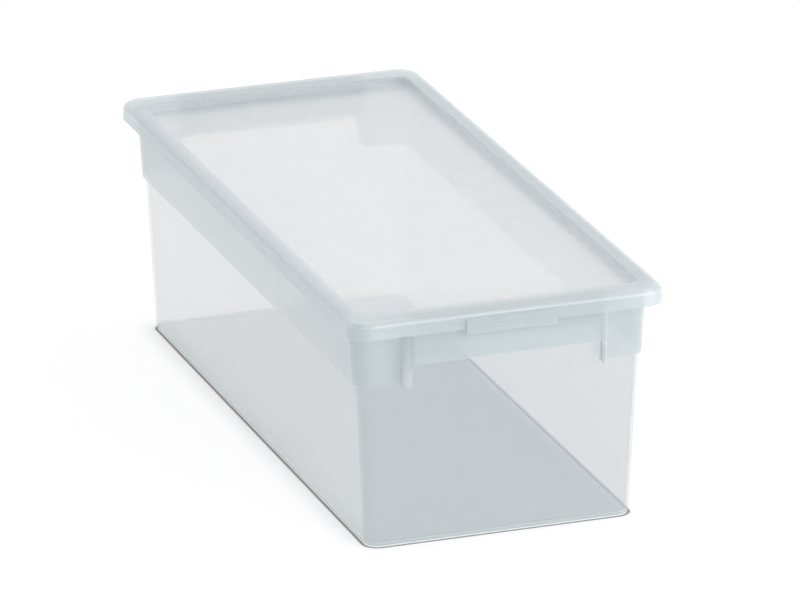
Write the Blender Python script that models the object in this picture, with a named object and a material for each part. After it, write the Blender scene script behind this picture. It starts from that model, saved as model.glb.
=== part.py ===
"""Lidded storage box for a pair of shoes: a moulded tub and a lift-off lid.

X runs across the width, Y along the length and Z up. The origin is the middle of the underside. Both short
ends are the same: each has a grab handle on the tub and a pull tab on the lid.
"""
import math

import bmesh
import bpy

# Overall sizes, in metres.
LID_WIDTH = 0.1740
LID_LENGTH = 0.4020
BOX_HEIGHT = 0.1298

# Lid.
LID_WALL = 0.0014
LID_CORNER_RADIUS = 0.0120
LID_EDGE_RADIUS = 0.0024
BRIM_HEIGHT = 0.0086
BRIM_FLARE = 0.0005
RECESS_DEPTH = 0.0042
RECESS_DRAFT = 0.0004
RECESS_SIDE_CLEARANCE = 0.0021
RECESS_END_CLEARANCE = 0.0005
RECESS_CORNER_STEP = 0.0020

# Pull tab on the lid's brim, at each short end.
TAB_WIDTH = 0.0507
TAB_DROP = 0.0027
TAB_PROUD = 0.0008
TAB_TOP_GAP = 0.0027
TAB_RIB_COUNT = 3
TAB_RIB_HEIGHT = 0.0004
TAB_RIB_WIDTH = 0.0008

# Tub. The overhangs are from the lid's top edge in to the band's bottom edge.
TUB_WALL = 0.0014
FLOOR_THICKNESS = 0.0016
SIDE_OVERHANG = 0.0070
END_OVERHANG = 0.0127
BAND_HEIGHT = 0.0384
BAND_SIDE_DRAFT = 0.0021
BAND_END_DRAFT = 0.0005
JOG = 0.0019
JOG_RISE = 0.0005
BODY_SIDE_DRAFT = 0.0042
BODY_END_DRAFT = 0.0019
TUB_CORNER_RADIUS = 0.0100
BASE_EDGE_RADIUS = 0.0025
FLOOR_EDGE_RADIUS = 0.0018
RIM_THICKNESS = 0.0016
RIM_END_REACH = 0.0030

# Grab handle on the tub, at each short end.
HANDLE_WIDTH = 0.1120
HANDLE_TAPER = 0.0017
HANDLE_WALL = 0.0014
HANDLE_PANEL_HEIGHT = 0.0239
HANDLE_CORNER_RADIUS = 0.0024
GUSSET_FOOT_REACH = 0.0075
GUSSET_FOOT_RISE = 0.0003
NICHE_RISE = 0.0060
NICHE_STEP = 0.0005

# Fits between the tub and the lid.
SEAT_GAP = 0.0003
RIM_CLEARANCE = 0.0006
HANDLE_CLEARANCE = 0.0008

CORNER_SEGMENTS = 8
EDGE_SEGMENTS = 3
OVERSHOOT = 0.0050
MERGE = 0.000001
SHARP_ANGLE = math.radians(30)

# Levels and half sizes that follow from the driving dimensions.
rim_z = BOX_HEIGHT - LID_WALL - SEAT_GAP
band_z = rim_z - BAND_HEIGHT
brim_z = BOX_HEIGHT - BRIM_HEIGHT
lid_x = LID_WIDTH / 2
lid_y = LID_LENGTH / 2
band_x = lid_x - SIDE_OVERHANG
band_y = lid_y - END_OVERHANG
band_top_x = band_x + BAND_SIDE_DRAFT
band_top_y = band_y + BAND_END_DRAFT
body_x = band_x - JOG
body_y = band_y - JOG
base_x = body_x - BODY_SIDE_DRAFT
base_y = body_y - BODY_END_DRAFT
body_radius = TUB_CORNER_RADIUS - JOG
rim_x = lid_x - LID_WALL - RIM_CLEARANCE
rim_y = band_top_y + RIM_END_REACH
recess_x = band_top_x - TUB_WALL - RECESS_SIDE_CLEARANCE - LID_WALL
recess_y = band_top_y - TUB_WALL - RECESS_END_CLEARANCE - LID_WALL
recess_radius = TUB_CORNER_RADIUS - TUB_WALL - RECESS_CORNER_STEP - LID_WALL
handle_y = lid_y - LID_WALL - HANDLE_CLEARANCE
handle_z = rim_z - HANDLE_PANEL_HEIGHT
niche_z = handle_z + NICHE_RISE
niche_half = HANDLE_WIDTH / 2 - HANDLE_WALL - NICHE_STEP


def outline(half_x, half_y, radius, z, niche=0.0, niche_y=None):
    """Points round a rectangle with rounded corners, counter-clockwise from the +X side of the +Y end.

    With a niche, that half width of the middle of each end stands back from the end's own line, at niche_y.
    """
    points = []
    for quarter, (sign_x, sign_y) in enumerate(((1, 1), (-1, 1), (-1, -1), (1, -1))):
        for step in range(CORNER_SEGMENTS + 1):
            turn = math.radians(90 * (quarter + step / CORNER_SEGMENTS))
            x = sign_x * (half_x - radius) + radius * math.cos(turn)
            y = sign_y * (half_y - radius) + radius * math.sin(turn)
            points.append((x, y, z))
        if niche and quarter in (0, 2):
            back = sign_y * (half_y if niche_y is None else niche_y)
            points.append((sign_x * niche, sign_y * half_y, z))
            points.append((sign_x * niche, back, z))
            points.append((-sign_x * niche, back, z))
            points.append((-sign_x * niche, sign_y * half_y, z))
    return points


def new_object(name, bm):
    """Put a bmesh in the scene, with its faces pointing out."""
    bmesh.ops.recalc_face_normals(bm, faces=bm.faces[:])
    mesh = bpy.data.meshes.new(name)
    bm.to_mesh(mesh)
    bm.free()
    obj = bpy.data.objects.new(name, mesh)
    bpy.context.scene.collection.objects.link(obj)
    return obj


def loft(name, loops):
    """Skin a run of loops with the same number of points, and close its two ends."""
    bm = bmesh.new()
    rings = [[bm.verts.new(point) for point in loop] for loop in loops]
    count = len(rings[0])
    for low, high in zip(rings, rings[1:]):
        for i in range(count):
            j = (i + 1) % count
            bm.faces.new((low[i], low[j], high[j], high[i]))
    bm.faces.new(rings[0])
    bm.faces.new(rings[-1])
    bmesh.ops.remove_doubles(bm, verts=bm.verts[:], dist=MERGE)
    return new_object(name, bm)


def guide(obj):
    """Mark an object as a tool for Booleans, which is not itself a part."""
    obj.hide_render = True
    obj.display_type = "WIRE"
    return obj


def combine(obj, tool, operation):
    """Add an exact Boolean with a guide to an object."""
    modifier = obj.modifiers.new(tool.name, "BOOLEAN")
    modifier.object = guide(tool)
    modifier.operation = operation
    modifier.solver = "EXACT"


def rounded_edge(half_x, half_y, radius, edge, z, rise, niche=0.0):
    """Loops round an edge from the flat face at z to the wall, edge above it (rise 1) or below it (rise -1)."""
    loops = []
    for step in range(EDGE_SEGMENTS + 1):
        turn = math.radians(90 * step / EDGE_SEGMENTS)
        inset = edge * (1 - math.sin(turn))
        level = z + rise * edge * (1 - math.cos(turn))
        loops.append(outline(half_x - inset, half_y - inset, radius - inset, level, niche))
    return loops


def body_at(z):
    """Half sizes of the lower body's outer face at a height."""
    share = z / band_z
    return base_x + share * BODY_SIDE_DRAFT, base_y + share * BODY_END_DRAFT


def band_at(z):
    """Half sizes of the band's outer face at a height."""
    share = (z - band_z) / BAND_HEIGHT
    return band_x + share * BAND_SIDE_DRAFT, band_y + share * BAND_END_DRAFT


def plan_loop(points, end, z):
    """Turn a plan drawn for the +Y end to either end, at a height."""
    return [(end * x, end * y, z) for x, y in points]


def handle_half_width(y, inset):
    """Half width of the tapering handle at a distance from the middle, less an inset."""
    share = (y - band_y) / (handle_y - band_y)
    return HANDLE_WIDTH / 2 - share * HANDLE_TAPER - inset


def handle_plan(y_back, y_front, inset, radius):
    """Plan of the handle, back edge first, with its two front corners rounded."""
    points = [(-handle_half_width(y_back, inset), y_back), (handle_half_width(y_back, inset), y_back)]
    front = handle_half_width(y_front, inset)
    for sign in (1, -1):
        for step in range(EDGE_SEGMENTS + 1):
            share = step if sign == 1 else EDGE_SEGMENTS - step
            turn = math.radians(90 * share / EDGE_SEGMENTS)
            x = sign * (front - radius + radius * math.cos(turn))
            points.append((x, y_front - radius + radius * math.sin(turn)))
    return points


def handle(end):
    """Grab handle: a shelf out from the rim, a panel down from its edge, and a gusset at each side."""
    y_back = band_y - TUB_WALL / 2
    tag = "near" if end < 0 else "far"
    plan = handle_plan(y_back, handle_y, 0, HANDLE_CORNER_RADIUS)
    z_low = band_z - OVERSHOOT
    shell = loft("handle_shell_" + tag, [plan_loop(plan, end, z_low), plan_loop(plan, end, rim_z)])

    foot_y = band_y + GUSSET_FOOT_REACH
    back = y_back - OVERSHOOT
    side = [(back, band_z), (y_back, band_z), (foot_y, band_z + GUSSET_FOOT_RISE), (handle_y, handle_z)]
    side += [(handle_y + OVERSHOOT, handle_z), (handle_y + OVERSHOOT, rim_z + OVERSHOOT)]
    side.append((back, rim_z + OVERSHOOT))
    loops = [[(x, end * y, z) for y, z in side] for x in (-HANDLE_WIDTH, HANDLE_WIDTH)]
    combine(shell, loft("handle_profile_" + tag, loops), "INTERSECT")

    inner_y = handle_y - HANDLE_WALL
    inner_radius = HANDLE_CORNER_RADIUS - HANDLE_WALL
    pocket = handle_plan(y_back - OVERSHOOT, inner_y, HANDLE_WALL, inner_radius)
    z_low = band_z - 2 * OVERSHOOT
    loops = [plan_loop(pocket, end, z_low), plan_loop(pocket, end, rim_z - RIM_THICKNESS)]
    combine(shell, loft("handle_pocket_" + tag, loops), "DIFFERENCE")

    gap = handle_half_width(inner_y, HANDLE_WALL + inner_radius)
    plan = [(-gap, inner_y - OVERSHOOT), (gap, inner_y - OVERSHOOT)]
    plan += [(gap, handle_y + OVERSHOOT), (-gap, handle_y + OVERSHOOT)]
    loops = [plan_loop(plan, end, z_low), plan_loop(plan, end, handle_z)]
    combine(shell, loft("handle_gap_" + tag, loops), "DIFFERENCE")
    return shell


def wall_loops(inset, top):
    """Loops up one face of the wall, an inset in from its outer face, from the jog to a height.

    Behind each handle the band has a niche, where the end wall runs straight up from the body.
    """
    niche = niche_half + inset
    radius = TUB_CORNER_RADIUS - inset
    step_z = band_z + inset
    shelf_z = niche_z + inset
    x, y = body_at(step_z)
    loops = [outline(x - inset, y - inset, radius - JOG, step_z, niche)]
    for z, in_niche in (
        (step_z + JOG_RISE, True),
        (shelf_z, True),
        (shelf_z + JOG_RISE, False),
        (top, False),
    ):
        x, y = band_at(z)
        back = body_at(z)[1] if in_niche else y
        loops.append(outline(x - inset, y - inset, radius, z, niche, back - inset))
    return loops


def make_tub():
    """Tub: base, body, band, rim flange and hollow as one closed skin, joined by its two handles."""
    loops = rounded_edge(base_x, base_y, body_radius, BASE_EDGE_RADIUS, 0, 1, niche_half)
    loops += wall_loops(0, rim_z - RIM_THICKNESS)
    rim_radius = TUB_CORNER_RADIUS + RIM_END_REACH
    loops.append(outline(rim_x, rim_y, rim_radius, rim_z - RIM_THICKNESS, niche_half))
    loops.append(outline(rim_x, rim_y, rim_radius, rim_z, niche_half))
    floor_x, floor_y = body_at(FLOOR_THICKNESS)
    hollow = rounded_edge(
        floor_x - TUB_WALL, floor_y - TUB_WALL, body_radius - TUB_WALL,
        FLOOR_EDGE_RADIUS, FLOOR_THICKNESS, 1, niche_half + TUB_WALL,
    )
    hollow += wall_loops(TUB_WALL, rim_z)
    tub = loft("tub", loops + hollow[::-1])
    for end in (-1, 1):
        combine(tub, handle(end), "UNION")
    return tub


def tab(end):
    """Pull tab: a ribbed plate on the brim that hangs a little below it."""
    back = lid_y - LID_WALL / 2
    front = lid_y + BRIM_FLARE + TAB_PROUD
    low = brim_z - TAB_DROP
    high = BOX_HEIGHT - TAB_TOP_GAP
    profile = [(back, low), (front, low)]
    pitch = (high - low) / (TAB_RIB_COUNT + 1)
    for rib in range(1, TAB_RIB_COUNT + 1):
        middle = low + rib * pitch
        profile.append((front, middle - TAB_RIB_WIDTH / 2))
        profile.append((front + TAB_RIB_HEIGHT, middle))
        profile.append((front, middle + TAB_RIB_WIDTH / 2))
    profile += [(front, high), (back, high)]
    loops = [[(x, end * y, z) for y, z in profile] for x in (-TAB_WIDTH / 2, TAB_WIDTH / 2)]
    return loft("tab_near" if end < 0 else "tab_far", loops)


def make_lid():
    """Lid: recessed panel, ring and down-turned brim as one closed skin, with a tab at each end."""
    panel_z = BOX_HEIGHT - RECESS_DEPTH
    under_z = BOX_HEIGHT - LID_WALL
    floor_x = recess_x - RECESS_DRAFT
    floor_y = recess_y - RECESS_DRAFT
    loops = [outline(floor_x, floor_y, recess_radius - RECESS_DRAFT, panel_z)]
    loops.append(outline(recess_x, recess_y, recess_radius, BOX_HEIGHT))
    loops += rounded_edge(lid_x, lid_y, LID_CORNER_RADIUS, LID_EDGE_RADIUS, BOX_HEIGHT, -1)
    loops.append(outline(lid_x + BRIM_FLARE, lid_y + BRIM_FLARE, LID_CORNER_RADIUS + BRIM_FLARE, brim_z))
    inset = BRIM_FLARE - LID_WALL
    loops.append(outline(lid_x + inset, lid_y + inset, LID_CORNER_RADIUS + inset, brim_z))
    inner_radius = LID_CORNER_RADIUS - LID_WALL
    loops.append(outline(lid_x - LID_WALL, lid_y - LID_WALL, inner_radius, under_z))
    wall_radius = recess_radius + LID_WALL
    loops.append(outline(recess_x + LID_WALL, recess_y + LID_WALL, wall_radius, under_z))
    spread = LID_WALL - RECESS_DRAFT
    loops.append(outline(recess_x + spread, recess_y + spread, recess_radius + spread, panel_z - LID_WALL))
    lid = loft("lid", loops)
    for end in (-1, 1):
        combine(lid, tab(end), "UNION")
    return lid


def plastic(obj, colour, roughness, alpha):
    """Give an object its own translucent polypropylene, and smooth shading on its round edges."""
    material = bpy.data.materials.new(obj.name)
    material.use_nodes = True
    shader = material.node_tree.nodes["Principled BSDF"]
    shader.inputs["Base Color"].default_value = colour
    shader.inputs["Roughness"].default_value = roughness
    shader.inputs["Metallic"].default_value = 0.0
    shader.inputs["Alpha"].default_value = alpha
    obj.data.materials.append(material)
    obj.data.shade_smooth()
    obj.data.set_sharp_from_angle(angle=SHARP_ANGLE)


def main():
    for old in list(bpy.data.objects):
        bpy.data.objects.remove(old)
    plastic(make_tub(), (0.86, 0.89, 0.89, 1.0), 0.25, 0.45)
    plastic(make_lid(), (0.84, 0.87, 0.88, 1.0), 0.25, 0.55)


main()
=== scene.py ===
"""Looks of the shoe box: a moulded tub and its lift-off lid, both clear polypropylene with frosted zones.

X runs across the width, Y along the length and Z up, in metres. Both short ends are the same.
"""

import math

import bmesh
import bpy
import numpy as np
from mathutils import Matrix, Vector


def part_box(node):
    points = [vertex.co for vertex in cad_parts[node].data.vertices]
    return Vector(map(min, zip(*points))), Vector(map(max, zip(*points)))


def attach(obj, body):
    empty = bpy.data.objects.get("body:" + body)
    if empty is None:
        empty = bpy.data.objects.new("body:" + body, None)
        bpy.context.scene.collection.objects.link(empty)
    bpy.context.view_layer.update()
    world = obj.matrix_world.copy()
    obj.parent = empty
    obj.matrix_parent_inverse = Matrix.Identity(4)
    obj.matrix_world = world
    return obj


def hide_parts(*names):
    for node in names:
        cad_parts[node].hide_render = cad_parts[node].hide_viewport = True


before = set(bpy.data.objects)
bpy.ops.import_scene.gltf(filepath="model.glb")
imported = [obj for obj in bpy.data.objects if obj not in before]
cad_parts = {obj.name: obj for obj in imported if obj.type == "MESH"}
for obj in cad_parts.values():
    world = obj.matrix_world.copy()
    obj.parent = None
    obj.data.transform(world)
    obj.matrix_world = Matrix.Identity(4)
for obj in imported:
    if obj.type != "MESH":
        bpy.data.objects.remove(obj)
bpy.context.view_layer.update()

# Lid.
LID_WALL = 0.0014
LID_CORNER_RADIUS = 0.0120
LID_EDGE_RADIUS = 0.0024
BRIM_HEIGHT = 0.0086
BRIM_FLARE = 0.0005
RECESS_DEPTH = 0.0042
RECESS_DRAFT = 0.0004
RECESS_SIDE_CLEARANCE = 0.0021
RECESS_END_CLEARANCE = 0.0005
RECESS_CORNER_STEP = 0.0020

# Pull tab on the lid's brim, at each short end.
TAB_WIDTH = 0.0507
TAB_DROP = 0.0027
TAB_PROUD = 0.0008
TAB_TOP_GAP = 0.0027
TAB_RIB_COUNT = 3
TAB_RIB_HEIGHT = 0.0004
TAB_RIB_WIDTH = 0.0008

# Tub. The overhangs are from the lid's top edge in to the band's bottom edge.
TUB_WALL = 0.0014
FLOOR_THICKNESS = 0.0016
SIDE_OVERHANG = 0.0070
END_OVERHANG = 0.0127
BAND_HEIGHT = 0.0384
BAND_SIDE_DRAFT = 0.0021
BAND_END_DRAFT = 0.0005
JOG = 0.0019
JOG_RISE = 0.0005
BODY_SIDE_DRAFT = 0.0042
BODY_END_DRAFT = 0.0019
TUB_CORNER_RADIUS = 0.0100
BASE_EDGE_RADIUS = 0.0025
FLOOR_EDGE_RADIUS = 0.0018
RIM_THICKNESS = 0.0016
RIM_END_REACH = 0.0030

# Grab handle on the tub, at each short end.
HANDLE_WIDTH = 0.1120
HANDLE_TAPER = 0.0017
HANDLE_WALL = 0.0014
HANDLE_PANEL_HEIGHT = 0.0239
HANDLE_CORNER_RADIUS = 0.0024
GUSSET_FOOT_REACH = 0.0075
GUSSET_FOOT_RISE = 0.0003
NICHE_RISE = 0.0060
NICHE_STEP = 0.0005

# Fits between the tub and the lid.
SEAT_GAP = 0.0003
RIM_CLEARANCE = 0.0006
HANDLE_CLEARANCE = 0.0008

# Finish of the fine meshes. SOFT_SHARE is the most of a step that a softened turn may take up.
CORNER_SEGMENTS = 20
EDGE_SEGMENTS = 6
SOFT_EDGE = 0.0004
SOFT_SHARE = 0.45
SOFT_SEGMENTS = 4
BEVEL_WIDTH = 0.9 * SOFT_EDGE
BEVEL_SEGMENTS = 2
BIG_FACE_WEIGHT = 100
RIB_SEGMENTS = 12
OVERSHOOT = 0.0050
MERGE = 0.000001
SHARP_ANGLE = math.radians(32)

# Levels and half sizes that follow from the frame and the sizes above.
lid_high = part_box("lid")[1]
box_height = lid_high.z
lid_x = lid_high.x - BRIM_FLARE
lid_y = lid_high.y - BRIM_FLARE - TAB_PROUD - TAB_RIB_HEIGHT
rim_z = box_height - LID_WALL - SEAT_GAP
band_z = rim_z - BAND_HEIGHT
brim_z = box_height - BRIM_HEIGHT
band_x = lid_x - SIDE_OVERHANG
band_y = lid_y - END_OVERHANG
band_top_x = band_x + BAND_SIDE_DRAFT
band_top_y = band_y + BAND_END_DRAFT
body_x = band_x - JOG
body_y = band_y - JOG
base_x = body_x - BODY_SIDE_DRAFT
base_y = body_y - BODY_END_DRAFT
body_radius = TUB_CORNER_RADIUS - JOG
rim_x = lid_x - LID_WALL - RIM_CLEARANCE
rim_y = band_top_y + RIM_END_REACH
recess_x = band_top_x - TUB_WALL - RECESS_SIDE_CLEARANCE - LID_WALL
recess_y = band_top_y - TUB_WALL - RECESS_END_CLEARANCE - LID_WALL
recess_radius = TUB_CORNER_RADIUS - TUB_WALL - RECESS_CORNER_STEP - LID_WALL
handle_y = lid_y - LID_WALL - HANDLE_CLEARANCE
handle_z = rim_z - HANDLE_PANEL_HEIGHT
niche_z = handle_z + NICHE_RISE
niche_half = HANDLE_WIDTH / 2 - HANDLE_WALL - NICHE_STEP


# ---------------------------------------------------------------- shapes

def station(x, y, radius, z, niche=0.0, back=None):
    """What one level's outline needs: half sizes, corner radius, height, and the niche at its ends."""
    return np.array((x, y, radius, z, niche, y if back is None else back))


def softened(stations, reach=SOFT_EDGE):
    """Round each turn of a run of stations with a small curve that starts and ends within reach of it."""
    run = [stations[0]]
    for before, here, after in zip(stations, stations[1:], stations[2:]):
        ends = []
        for other in (before, after):
            step = other - here
            length = max(math.hypot(step[0], step[3]), math.hypot(step[1], step[3]))
            ends.append(here + step * min(reach / length, SOFT_SHARE))
        for i in range(SOFT_SEGMENTS + 1):
            t = i / SOFT_SEGMENTS
            run.append((1 - t) ** 2 * ends[0] + 2 * t * (1 - t) * here + t ** 2 * ends[1])
    run.append(stations[-1])
    return run


def outline(place):
    """Points round a rectangle with rounded corners, counter-clockwise from the +X side of the +Y end."""
    half_x, half_y, radius, z, niche, back = place
    points = []
    for quarter, (sign_x, sign_y) in enumerate(((1, 1), (-1, 1), (-1, -1), (1, -1))):
        for step in range(CORNER_SEGMENTS + 1):
            turn = math.radians(90 * (quarter + step / CORNER_SEGMENTS))
            x = sign_x * (half_x - radius) + radius * math.cos(turn)
            y = sign_y * (half_y - radius) + radius * math.sin(turn)
            points.append((x, y, z))
        if niche and quarter in (0, 2):
            points.append((sign_x * niche, sign_y * half_y, z))
            points.append((sign_x * niche, sign_y * back, z))
            points.append((-sign_x * niche, sign_y * back, z))
            points.append((-sign_x * niche, sign_y * half_y, z))
    return points


def new_object(name, bm):
    """Put a bmesh in the scene, with its faces pointing out."""
    bmesh.ops.recalc_face_normals(bm, faces=bm.faces[:])
    mesh = bpy.data.meshes.new(name)
    bm.to_mesh(mesh)
    bm.free()
    obj = bpy.data.objects.new(name, mesh)
    bpy.context.scene.collection.objects.link(obj)
    return obj


def loft(name, loops):
    """Skin a run of loops with the same number of points, and close its two ends."""
    bm = bmesh.new()
    rings = [[bm.verts.new(point) for point in loop] for loop in loops]
    count = len(rings[0])
    for low, high in zip(rings, rings[1:]):
        for i in range(count):
            j = (i + 1) % count
            bm.faces.new((low[i], low[j], high[j], high[i]))
    bm.faces.new(rings[0])
    bm.faces.new(rings[-1])
    bmesh.ops.remove_doubles(bm, verts=bm.verts[:], dist=MERGE)
    return new_object(name, bm)


def combined(obj, tool, operation):
    """Apply an exact Boolean with a tool to an object, and remove the tool."""
    modifier = obj.modifiers.new(operation, "BOOLEAN")
    modifier.object = tool
    modifier.operation = operation
    modifier.solver = "EXACT"
    graph = bpy.context.evaluated_depsgraph_get()
    mesh = bpy.data.meshes.new_from_object(obj.evaluated_get(graph))
    obj.modifiers.clear()
    obj.data = mesh
    bpy.data.objects.remove(tool)
    return obj


def rounded_edge(half_x, half_y, radius, edge, z, rise, niche=0.0):
    """Stations round an edge from the flat face at z to the wall, above it (rise 1) or below it (rise -1)."""
    run = []
    for step in range(EDGE_SEGMENTS + 1):
        turn = math.radians(90 * step / EDGE_SEGMENTS)
        inset = edge * (1 - math.sin(turn))
        level = z + rise * edge * (1 - math.cos(turn))
        run.append(station(half_x - inset, half_y - inset, radius - inset, level, niche))
    return run


def body_at(z):
    """Half sizes of the lower body's outer face at a height."""
    share = z / band_z
    return base_x + share * BODY_SIDE_DRAFT, base_y + share * BODY_END_DRAFT


def band_at(z):
    """Half sizes of the band's outer face at a height."""
    share = (z - band_z) / BAND_HEIGHT
    return band_x + share * BAND_SIDE_DRAFT, band_y + share * BAND_END_DRAFT


def plan_loop(points, end, z):
    """Turn a plan drawn for the +Y end to either end, at a height."""
    return [(end * x, end * y, z) for x, y in points]


def handle_half_width(y, inset):
    """Half width of the tapering handle at a distance from the middle, less an inset."""
    share = (y - band_y) / (handle_y - band_y)
    return HANDLE_WIDTH / 2 - share * HANDLE_TAPER - inset


def handle_plan(y_back, y_front, inset, radius):
    """Plan of the handle, back edge first, with its two front corners rounded."""
    points = [(-handle_half_width(y_back, inset), y_back), (handle_half_width(y_back, inset), y_back)]
    front = handle_half_width(y_front, inset)
    for sign in (1, -1):
        for step in range(EDGE_SEGMENTS + 1):
            share = step if sign == 1 else EDGE_SEGMENTS - step
            turn = math.radians(90 * share / EDGE_SEGMENTS)
            x = sign * (front - radius + radius * math.cos(turn))
            points.append((x, y_front - radius + radius * math.sin(turn)))
    return points


def handle(end):
    """Grab handle: a shelf out from the rim, a panel down from its edge, and a gusset at each side."""
    y_back = band_y - TUB_WALL / 2
    plan = handle_plan(y_back, handle_y, 0, HANDLE_CORNER_RADIUS)
    z_low = band_z - OVERSHOOT
    shell = loft("handle", [plan_loop(plan, end, z_low), plan_loop(plan, end, rim_z)])

    foot_y = band_y + GUSSET_FOOT_REACH
    back = y_back - OVERSHOOT
    side = [(back, band_z), (y_back, band_z), (foot_y, band_z + GUSSET_FOOT_RISE), (handle_y, handle_z)]
    side += [(handle_y + OVERSHOOT, handle_z), (handle_y + OVERSHOOT, rim_z + OVERSHOOT)]
    side.append((back, rim_z + OVERSHOOT))
    loops = [[(x, end * y, z) for y, z in side] for x in (-HANDLE_WIDTH, HANDLE_WIDTH)]
    combined(shell, loft("profile", loops), "INTERSECT")

    inner_y = handle_y - HANDLE_WALL
    inner_radius = HANDLE_CORNER_RADIUS - HANDLE_WALL
    pocket = handle_plan(y_back - OVERSHOOT, inner_y, HANDLE_WALL, inner_radius)
    z_low = band_z - 2 * OVERSHOOT
    loops = [plan_loop(pocket, end, z_low), plan_loop(pocket, end, rim_z - RIM_THICKNESS)]
    combined(shell, loft("pocket", loops), "DIFFERENCE")

    gap = handle_half_width(inner_y, HANDLE_WALL + inner_radius)
    plan = [(-gap, inner_y - OVERSHOOT), (gap, inner_y - OVERSHOOT)]
    plan += [(gap, handle_y + OVERSHOOT), (-gap, handle_y + OVERSHOOT)]
    loops = [plan_loop(plan, end, z_low), plan_loop(plan, end, handle_z)]
    return combined(shell, loft("gap", loops), "DIFFERENCE")


def wall_stations(inset, top):
    """Stations up one face of the wall, an inset in from its outer face, from the jog to a height.

    Behind each handle the band has a niche, where the end wall runs straight up from the body.
    """
    niche = niche_half + inset
    radius = TUB_CORNER_RADIUS - inset
    step_z = band_z + inset
    shelf_z = niche_z + inset
    x, y = body_at(step_z)
    run = [station(x - inset, y - inset, radius - JOG, step_z, niche)]
    for z, in_niche in (
        (step_z + JOG_RISE, True),
        (shelf_z, True),
        (shelf_z + JOG_RISE, False),
        (top, False),
    ):
        x, y = band_at(z)
        back = body_at(z)[1] if in_niche else y
        run.append(station(x - inset, y - inset, radius, z, niche, back - inset))
    return run


def tub_shape():
    """Tub: base, body, band, rim flange and hollow as one closed skin, joined by its two handles."""
    base = rounded_edge(base_x, base_y, body_radius, BASE_EDGE_RADIUS, 0, 1, niche_half)
    floor_x, floor_y = body_at(FLOOR_THICKNESS)
    hollow = rounded_edge(
        floor_x - TUB_WALL, floor_y - TUB_WALL, body_radius - TUB_WALL,
        FLOOR_EDGE_RADIUS, FLOOR_THICKNESS, 1, niche_half + TUB_WALL,
    )
    rim_radius = TUB_CORNER_RADIUS + RIM_END_REACH
    wall = [base[-1]] + wall_stations(0, rim_z - RIM_THICKNESS)
    wall.append(station(rim_x, rim_y, rim_radius, rim_z - RIM_THICKNESS, niche_half))
    wall.append(station(rim_x, rim_y, rim_radius, rim_z, niche_half))
    wall += wall_stations(TUB_WALL, rim_z)[::-1]
    wall.append(hollow[-1])
    run = base[:-1] + softened(wall) + hollow[-2::-1]
    tub = loft("tub_shell", [outline(place) for place in run])
    for end in (-1, 1):
        combined(tub, handle(end), "UNION")
    return tub


def tab(end):
    """Pull tab: a ribbed plate on the brim that hangs a little below it."""
    back = lid_y - LID_WALL / 2
    front = lid_y + BRIM_FLARE + TAB_PROUD
    low = brim_z - TAB_DROP
    high = box_height - TAB_TOP_GAP
    profile = [(back, low), (front, low)]
    pitch = (high - low) / (TAB_RIB_COUNT + 1)
    for rib in range(1, TAB_RIB_COUNT + 1):
        middle = low + rib * pitch
        for step in range(RIB_SEGMENTS + 1):
            share = step / RIB_SEGMENTS
            z = middle + TAB_RIB_WIDTH * (share - 0.5)
            profile.append((front + TAB_RIB_HEIGHT / 2 * (1 - math.cos(2 * math.pi * share)), z))
    profile += [(front, high), (back, high)]
    loops = [[(x, end * y, z) for y, z in profile] for x in (-TAB_WIDTH / 2, TAB_WIDTH / 2)]
    return loft("tab", loops)


def lid_shape():
    """Lid: recessed panel, ring and down-turned brim as one closed skin, with a tab at each end."""
    panel_z = box_height - RECESS_DEPTH
    under_z = box_height - LID_WALL
    floor_x = recess_x - RECESS_DRAFT
    floor_y = recess_y - RECESS_DRAFT
    floor_radius = recess_radius - RECESS_DRAFT
    margin = 2 * SOFT_EDGE
    run = [station(floor_x - margin, floor_y - margin, floor_radius - margin, panel_z)]
    run.append(station(floor_x, floor_y, floor_radius, panel_z))
    run.append(station(recess_x, recess_y, recess_radius, box_height))
    edge = rounded_edge(lid_x, lid_y, LID_CORNER_RADIUS, LID_EDGE_RADIUS, box_height, -1)
    run = softened(run + edge[:1])[:-1] + edge[:-1]

    flare_radius = LID_CORNER_RADIUS + BRIM_FLARE
    skirt = [edge[-1], station(lid_x + BRIM_FLARE, lid_y + BRIM_FLARE, flare_radius, brim_z)]
    inset = BRIM_FLARE - LID_WALL
    skirt.append(station(lid_x + inset, lid_y + inset, LID_CORNER_RADIUS + inset, brim_z))
    inner_radius = LID_CORNER_RADIUS - LID_WALL
    skirt.append(station(lid_x - LID_WALL, lid_y - LID_WALL, inner_radius, under_z))
    wall_radius = recess_radius + LID_WALL
    skirt.append(station(recess_x + LID_WALL, recess_y + LID_WALL, wall_radius, under_z))
    spread = LID_WALL - RECESS_DRAFT
    low_radius = recess_radius + spread
    skirt.append(station(recess_x + spread, recess_y + spread, low_radius, panel_z - LID_WALL))
    inner = spread - margin
    skirt.append(station(recess_x + inner, recess_y + inner, recess_radius + inner, panel_z - LID_WALL))
    run += softened(skirt)
    lid = loft("lid_shell", [outline(place) for place in run])
    for end in (-1, 1):
        combined(lid, tab(end), "UNION")
    return lid


# Edges of the first kind are bevelled with the painted highlight material, those of the second keep their
# faces' material.
EDGE_KINDS = ("bright_edges", "plain_edges")


def weigh_edges(mesh, kind_of):
    """Weigh each sharp edge for the bevel of its kind: the thin edges with a painted highlight, or the plain
    ones.
    """
    bm = bmesh.new()
    bm.from_mesh(mesh)
    layers = {kind: bm.edges.layers.float.new(kind) for kind in EDGE_KINDS}
    for edge in bm.edges:
        kind = kind_of((edge.verts[0].co + edge.verts[1].co) / 2)
        if kind and edge.calc_face_angle() > SHARP_ANGLE:
            edge[layers[kind]] = 1.0
    bm.to_mesh(mesh)
    bm.free()


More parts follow.
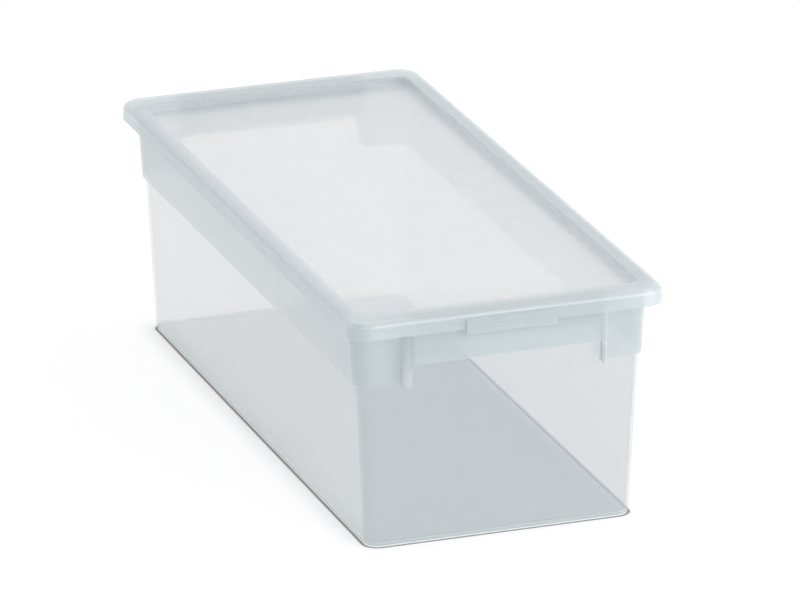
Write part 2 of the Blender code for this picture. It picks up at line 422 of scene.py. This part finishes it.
def finish_mesh(obj, zone_of, kind_of, materials):
    """Give each face the material of its zone, round the sharp edges and even out the shading."""
    mesh = obj.data
    mesh.materials.clear()
    for material in materials:
        mesh.materials.append(material)
    for face in mesh.polygons:
        face.material_index = zone_of(face.center)
    weigh_edges(mesh, kind_of)
    # The bright kind of bevel takes the painted highlight material.
    for name, material in zip(EDGE_KINDS, (PAINTED_HIGHLIGHT, -1)):
        bevel = obj.modifiers.new(name, "BEVEL")
        bevel.width = BEVEL_WIDTH
        bevel.segments = BEVEL_SEGMENTS
        bevel.limit_method = "WEIGHT"
        bevel.edge_weight = name
        bevel.material = material
        bevel.use_clamp_overlap = False
    weld = obj.modifiers.new("weld", "WELD")
    weld.merge_threshold = MERGE
    mesh.shade_smooth()
    mesh.set_sharp_from_angle(angle=SHARP_ANGLE)
    normals = obj.modifiers.new("even", "WEIGHTED_NORMAL")
    normals.keep_sharp = True
    normals.weight = BIG_FACE_WEIGHT
    return obj


# ---------------------------------------------------------------- materials

# Material zones: polished, frosted, and a painted highlight for thin edges, bevels and gussets.
CLEAR, FROSTED, PAINTED_HIGHLIGHT = range(3)

# Tests of a face's level stay this far off the level itself.
LEVEL_MARGIN = SOFT_EDGE / 4

# Soft clouding, a few centimetres across, that shifts the haze, the colour and the gloss a little.
CLOUD_SCALE, CLOUD_DETAIL = 26, 3
CLOUD_BOUNDS = (0.25, 0.75)
HAZE_SHIFT, COLOUR_SHIFT, ROUGHNESS_SHIFT = 0.07, 0.04, 0.2

# Haze added where a sheet is seen edge on, and the share of light mirrored by a sheet seen head on.
EDGE_ON_BLEND, EDGE_ON_HAZE = 0.25, 0.25
HEAD_ON_MIRROR, MIRROR_POWER = 0.04, 5

# Fine texture of the mould where it is frosted.
GRAIN_SIZE, GRAIN_DEPTH, GRAIN_DETAIL = 0.0009, 0.00001, 2

# For each zone: the tint of light that goes straight through, the haze if both mouldings share it, and the
# roughness.
CLEAR_TINT, CLEAR_ROUGHNESS = (0.975, 0.98, 0.982), 0.10
FROSTED_TINT, FROSTED_HAZE, FROSTED_ROUGHNESS = (0.93, 0.955, 0.96), 0.42, 0.34
# The third zone is a painted highlight: hazier and lighter than the frosting, so that edges and gussets read
# as lit lines.
PAINTED_HIGHLIGHT_TINT, PAINTED_HIGHLIGHT_HAZE, EDGE_ROUGHNESS = (0.97, 0.985, 0.99), 0.50, 0.20
PAINTED_HIGHLIGHT_BODY = (0.84, 0.875, 0.89)

# Haze and colours of the two mouldings.
TUB_HAZE, TUB_BODY, TUB_FROSTING = 0.08, (0.66, 0.675, 0.69), (0.72, 0.765, 0.78)
LID_HAZE, LID_BODY, LID_FROSTING = 0.26, (0.90, 0.905, 0.915), (0.80, 0.84, 0.855)


def tub_zone(centre):
    """The tub is frosted above the jog, clear in the niche behind each handle, and painted with a highlight
    on the gussets.
    """
    in_niche = abs(centre.x) < niche_half + TUB_WALL / 2 and abs(centre.y) < band_y - JOG / 2
    on_floor = centre.z < FLOOR_THICKNESS + LEVEL_MARGIN
    if (centre.z < band_z and not on_floor) or (in_niche and centre.z < niche_z and not on_floor):
        return CLEAR
    on_gusset = abs(centre.y) > band_top_y and abs(centre.x) > niche_half and centre.z < rim_z - RIM_THICKNESS
    return PAINTED_HIGHLIGHT if on_gusset and abs(centre.y) < handle_y - HANDLE_WALL else FROSTED


def lid_zone(centre):
    """The lid's recessed panel and the step to it are clear, its outer top edge painted with a highlight, the
    rest frosted.
    """
    past_step = LID_WALL + LID_WALL / 2
    in_recess = abs(centre.x) < recess_x + past_step and abs(centre.y) < recess_y + past_step
    below_ring = centre.z < box_height - LID_WALL - LEVEL_MARGIN
    on_step = abs(centre.x) < recess_x and abs(centre.y) < recess_y and centre.z < box_height - SOFT_EDGE
    if on_step or (in_recess and below_ring):
        return CLEAR
    # The rounded outer top edge takes the painted highlight material.
    outward = max(abs(centre.x) - lid_x, abs(centre.y) - lid_y) + LID_EDGE_RADIUS
    return PAINTED_HIGHLIGHT if outward > 0 and centre.z > box_height - LID_EDGE_RADIUS else FROSTED


def tub_edge_kind(middle):
    """The tub's sharp edges get a bevel with a painted highlight, except round its top face, where they stay
    sharp.
    """
    return EDGE_KINDS[0] if middle.z < rim_z - SOFT_EDGE else None


def lid_edge_kind(middle):
    """The lid's sharp edges get a bevel with a painted highlight, except a pull tab's.

    Those of the tab's front are plain, and those of its foot on the brim stay sharp.
    """
    if abs(middle.y) > lid_y + BRIM_FLARE + TAB_PROUD / 2:
        return EDGE_KINDS[1]
    on_tab = abs(middle.y) > lid_y - LID_WALL / 2 and abs(middle.x) < TAB_WIDTH / 2 + SOFT_EDGE
    return None if on_tab else EDGE_KINDS[0]


def spread_about(middle, shift):
    """The two ends of a range that lies a share of its middle to each side of it."""
    return middle * (1 - shift), middle * (1 + shift)


def mapped(tree, source, ends, bounds=(0, 1), smooth=False):
    """Carry a socket's values from between two bounds to between two ends."""
    node = tree.nodes.new("ShaderNodeMapRange")
    if smooth:
        node.interpolation_type = "SMOOTHSTEP"
    for side, bound, end in zip(("Min", "Max"), bounds, ends):
        node.inputs["From " + side].default_value = bound
        node.inputs["To " + side].default_value = end
    tree.links.new(source, node.inputs["Value"])
    return node.outputs["Result"]


def computed(tree, kind, operation, *terms):
    """Node that works out an operation on sockets and plain values."""
    node = tree.nodes.new(kind)
    node.operation = operation
    for term, socket in zip(terms, node.inputs):
        if isinstance(term, bpy.types.NodeSocket):
            tree.links.new(term, socket)
        else:
            socket.default_value = term
    return node


def mixed(tree, share, first, second):
    """Mix two shaders, by halves where no share is given."""
    node = tree.nodes.new("ShaderNodeMixShader")
    if share is not None:
        tree.links.new(share, node.inputs["Fac"])
    tree.links.new(first, node.inputs[1])
    tree.links.new(second, node.inputs[2])
    return node.outputs["Shader"]


def noise(tree, scale, detail):
    """Noise through the object's own space."""
    place = tree.nodes.new("ShaderNodeTexCoord")
    node = tree.nodes.new("ShaderNodeTexNoise")
    node.inputs["Scale"].default_value = scale
    node.inputs["Detail"].default_value = detail
    tree.links.new(place.outputs["Object"], node.inputs["Vector"])
    return node.outputs["Fac"]


def facing(tree, blend):
    """How far a face is turned from the view, for sheen and gloss."""
    node = tree.nodes.new("ShaderNodeLayerWeight")
    node.inputs["Blend"].default_value = blend
    return node.outputs["Facing"]


def scattering(tree, cloud, body):
    """Light scattered in the sheet, half back from its face and half on through it."""
    shade = tree.nodes.new("ShaderNodeValToRGB")
    tree.links.new(cloud, shade.inputs["Fac"])
    shade.color_ramp.elements[0].color = [*((1 - COLOUR_SHIFT) * c for c in body), 1]
    shade.color_ramp.elements[1].color = [*body, 1]
    sides = []
    for kind in ("ShaderNodeBsdfDiffuse", "ShaderNodeBsdfTranslucent"):
        side = tree.nodes.new(kind)
        tree.links.new(shade.outputs["Color"], side.inputs["Color"])
        sides.append(side.outputs["BSDF"])
    return mixed(tree, None, *sides)


def mirroring(tree, cloud, roughness, grain):
    """Light mirrored by the sheet's face, with the mould's texture where there is any."""
    gloss = tree.nodes.new("ShaderNodeBsdfGlossy")
    gloss.inputs["Color"].default_value = (1, 1, 1, 1)
    wear = mapped(tree, cloud, spread_about(roughness, ROUGHNESS_SHIFT))
    tree.links.new(wear, gloss.inputs["Roughness"])
    if grain:
        relief = tree.nodes.new("ShaderNodeBump")
        relief.inputs["Strength"].default_value = 1
        relief.inputs["Distance"].default_value = grain
        tree.links.new(noise(tree, 1 / GRAIN_SIZE, GRAIN_DETAIL), relief.inputs["Height"])
        tree.links.new(relief.outputs["Normal"], gloss.inputs["Normal"])
    return gloss.outputs["BSDF"]


def plastic(name, tint, haze, body, roughness, grain=0.0):
    """Polypropylene sheet: some light goes straight through, some is scattered in it, some is mirrored.

    haze is the share scattered at one face, and grain is the depth of the mould's texture.
    """
    material = bpy.data.materials.new(name)
    material.use_nodes = True
    tree = material.node_tree
    tree.nodes.clear()
    cloud = noise(tree, CLOUD_SCALE, CLOUD_DETAIL)

    share = mapped(tree, cloud, spread_about(haze, HAZE_SHIFT), CLOUD_BOUNDS)
    edge_on = facing(tree, EDGE_ON_BLEND)
    thicker = computed(tree, "ShaderNodeMath", "MULTIPLY_ADD", edge_on, EDGE_ON_HAZE, share)
    thicker.use_clamp = True
    pass_through = tree.nodes.new("ShaderNodeBsdfTransparent")
    pass_through.inputs["Color"].default_value = (*tint, 1)
    milk = scattering(tree, cloud, body)
    sheet = mixed(tree, thicker.outputs["Value"], pass_through.outputs["BSDF"], milk)

    power = computed(tree, "ShaderNodeMath", "POWER", facing(tree, 0.5), MIRROR_POWER)
    mirror = mapped(tree, power.outputs["Value"], (HEAD_ON_MIRROR, 1))
    surface = mixed(tree, mirror, sheet, mirroring(tree, cloud, roughness, grain))
    out = tree.nodes.new("ShaderNodeOutputMaterial")
    tree.links.new(surface, out.inputs["Surface"])
    return material


def moulded(name, polished_haze, polished_body, frosting):
    """A moulding's plastic: polished, frosted by the mould's texture, and a painted highlight, lighter than
    the frosting, along its thin edges and, on the tub, its gussets.
    """
    return (
        plastic(name + "_clear", CLEAR_TINT, polished_haze, polished_body, CLEAR_ROUGHNESS),
        plastic(name + "_frosted", FROSTED_TINT, FROSTED_HAZE, frosting, FROSTED_ROUGHNESS, GRAIN_DEPTH),
        plastic(name + "_edge", PAINTED_HIGHLIGHT_TINT, PAINTED_HIGHLIGHT_HAZE, PAINTED_HIGHLIGHT_BODY, EDGE_ROUGHNESS),
    )


# ---------------------------------------------------------------- studio

FLOOR_SIZE, FLOOR_SEGMENTS = 6, 8
FLOOR_DROP = 0.0002
FLOOR_ROUGHNESS = 0.8

# The floor's brightness is part glow and part light from the room. The room's part grows near the box.
FLOOR_WHITE = 1.05
NEAR_SHARE, FAR_SHARE = 0.70, 0.25
CONTACT_REACH = 0.015
# Painted contact shadow: colour and glow darkened in a thin line along the outline of the tub's base.
PAINTED_SHADOW_REACH, PAINTED_SHADOW_LEVEL = 0.0016, 0.25


def foot_distance(tree):
    """Distance on the floor from the outline of the tub's base, less than zero inside it."""
    place = tree.nodes.new("ShaderNodeTexCoord")
    kind = "ShaderNodeVectorMath"
    quarter = computed(tree, kind, "ABSOLUTE", place.outputs["Object"])
    corner = (base_x - body_radius, base_y - body_radius, 0)
    beyond = computed(tree, kind, "SUBTRACT", quarter.outputs["Vector"], corner)
    outside = computed(tree, kind, "MAXIMUM", beyond.outputs["Vector"], (0, 0, 0))
    length = computed(tree, kind, "LENGTH", outside.outputs["Vector"])
    distance = computed(tree, "ShaderNodeMath", "SUBTRACT", length.outputs["Value"], body_radius)
    return distance.outputs["Value"]


def floor():
    """A wide matt floor that glows a little, so that it is nearly white.

    Near the box it glows less and the room lights it more, so that the box darkens it where it stands.
    A painted contact shadow darkens it further in a thin line along the foot of its walls.
    """
    bm = bmesh.new()
    bmesh.ops.create_grid(bm, x_segments=FLOOR_SEGMENTS, y_segments=FLOOR_SEGMENTS, size=FLOOR_SIZE)
    ground = new_object("floor", bm)
    ground.location.z = -FLOOR_DROP
    material = bpy.data.materials.new("pale_floor")
    material.use_nodes = True
    tree = material.node_tree
    shader = tree.nodes["Principled BSDF"]
    shader.inputs["Roughness"].default_value = FLOOR_ROUGHNESS
    shader.inputs["Specular IOR Level"].default_value = 0.0
    shader.inputs["Emission Color"].default_value = (1, 1, 1, 1)

    distance = foot_distance(tree)
    share = mapped(tree, distance, (NEAR_SHARE, FAR_SHARE), (0, CONTACT_REACH), smooth=True)
    glow = computed(tree, "ShaderNodeMath", "SUBTRACT", FLOOR_WHITE, share)
    away = computed(tree, "ShaderNodeMath", "ABSOLUTE", distance)
    # Painted contact shadow, darkest on the base's outline.
    painted_shadow = mapped(tree, away.outputs["Value"], (PAINTED_SHADOW_LEVEL, 1), (0, PAINTED_SHADOW_REACH), smooth=True)
    for lit, name in ((share, "Base Color"), (glow.outputs["Value"], "Emission Strength")):
        shaded = computed(tree, "ShaderNodeMath", "MULTIPLY", lit, painted_shadow)
        tree.links.new(shaded.outputs["Value"], shader.inputs[name])
    ground.data.materials.append(material)


BRIGHT_SIDE = Vector((0.45, 0.75, 0.48)).normalized()
SKY_BOUNDS = (-0.6, 0.9)
DIM_SKY, BRIGHT_SKY = 0.38, 1.05
LAMP_WIDTH, LAMP_HEIGHT = 2.0, 1.4
LAMP_POWER = 36
LAMP_PLACE = (1.1, -2.0, 0.8)


def studio_light():
    """A white room that is brighter behind the box and to its right, and one soft lamp at the front right."""
    world = bpy.data.worlds.new("studio")
    bpy.context.scene.world = world
    world.use_nodes = True
    tree = world.node_tree
    backdrop = tree.nodes["Background"]
    backdrop.inputs["Color"].default_value = (1, 1, 1, 1)
    direction = tree.nodes.new("ShaderNodeTexCoord").outputs["Generated"]
    toward = computed(tree, "ShaderNodeVectorMath", "DOT_PRODUCT", direction, BRIGHT_SIDE)
    level = mapped(tree, toward.outputs["Value"], (DIM_SKY, BRIGHT_SKY), SKY_BOUNDS, smooth=True)
    tree.links.new(level, backdrop.inputs["Strength"])

    lamp = bpy.data.lights.new("softbox", "AREA")
    lamp.shape = "RECTANGLE"
    lamp.size, lamp.size_y = LAMP_WIDTH, LAMP_HEIGHT
    lamp.energy = LAMP_POWER
    holder = bpy.data.objects.new("softbox", lamp)
    bpy.context.scene.collection.objects.link(holder)
    holder.location = LAMP_PLACE
    aim = Vector((0, 0, box_height)) - holder.location
    holder.rotation_euler = aim.to_track_quat("-Z", "Y").to_euler()


CAMERA_AZIMUTH = math.radians(-19.22)
CAMERA_ELEVATION = math.radians(19.53)
CAMERA_ROLL = math.radians(-0.33)
CAMERA_TARGET = Vector((0.0091, 0.0003, 0.0660))
CAMERA_DISTANCE = 4.313
CAMERA_LENS = 358.07
CAMERA_FAR = 50


def camera():
    """A long lens, from the front left and a little above."""
    lens = bpy.data.cameras.new("camera")
    lens.lens = CAMERA_LENS
    lens.clip_end = CAMERA_FAR
    view = bpy.data.objects.new("camera", lens)
    bpy.context.scene.collection.objects.link(view)
    sin_a, cos_a = math.sin(CAMERA_AZIMUTH), math.cos(CAMERA_AZIMUTH)
    sin_e, cos_e = math.sin(CAMERA_ELEVATION), math.cos(CAMERA_ELEVATION)
    back = Vector((sin_a * cos_e, -cos_a * cos_e, sin_e))
    right = Vector((cos_a, sin_a, 0))
    up = back.cross(right)
    axes = Matrix((right, up, back)).transposed().to_4x4()
    view.matrix_world = Matrix.Translation(CAMERA_TARGET + back * CAMERA_DISTANCE) @ axes
    view.matrix_world = view.matrix_world @ Matrix.Rotation(CAMERA_ROLL, 4, "Z")
    bpy.context.scene.camera = view


CLEAR_LAYERS = 32
BRIGHTEST_BOUNCE = 2.0


def render_look():
    """Plain colours, light through many clear layers, and less noise."""
    scene = bpy.context.scene
    scene.view_settings.view_transform = "Standard"
    scene.cycles.transparent_max_bounces = CLEAR_LAYERS
    scene.cycles.denoising_input_passes = "RGB_ALBEDO"
    scene.cycles.sample_clamp_indirect = BRIGHTEST_BOUNCE


tub_plastic = moulded("tub", TUB_HAZE, TUB_BODY, TUB_FROSTING)
tub = finish_mesh(tub_shape(), tub_zone, tub_edge_kind, tub_plastic)
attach(tub, "tub")
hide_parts("tub")
lid_plastic = moulded("lid", LID_HAZE, LID_BODY, LID_FROSTING)
lid = finish_mesh(lid_shape(), lid_zone, lid_edge_kind, lid_plastic)
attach(lid, "lid")
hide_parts("lid")
floor()
studio_light()
camera()
render_look()
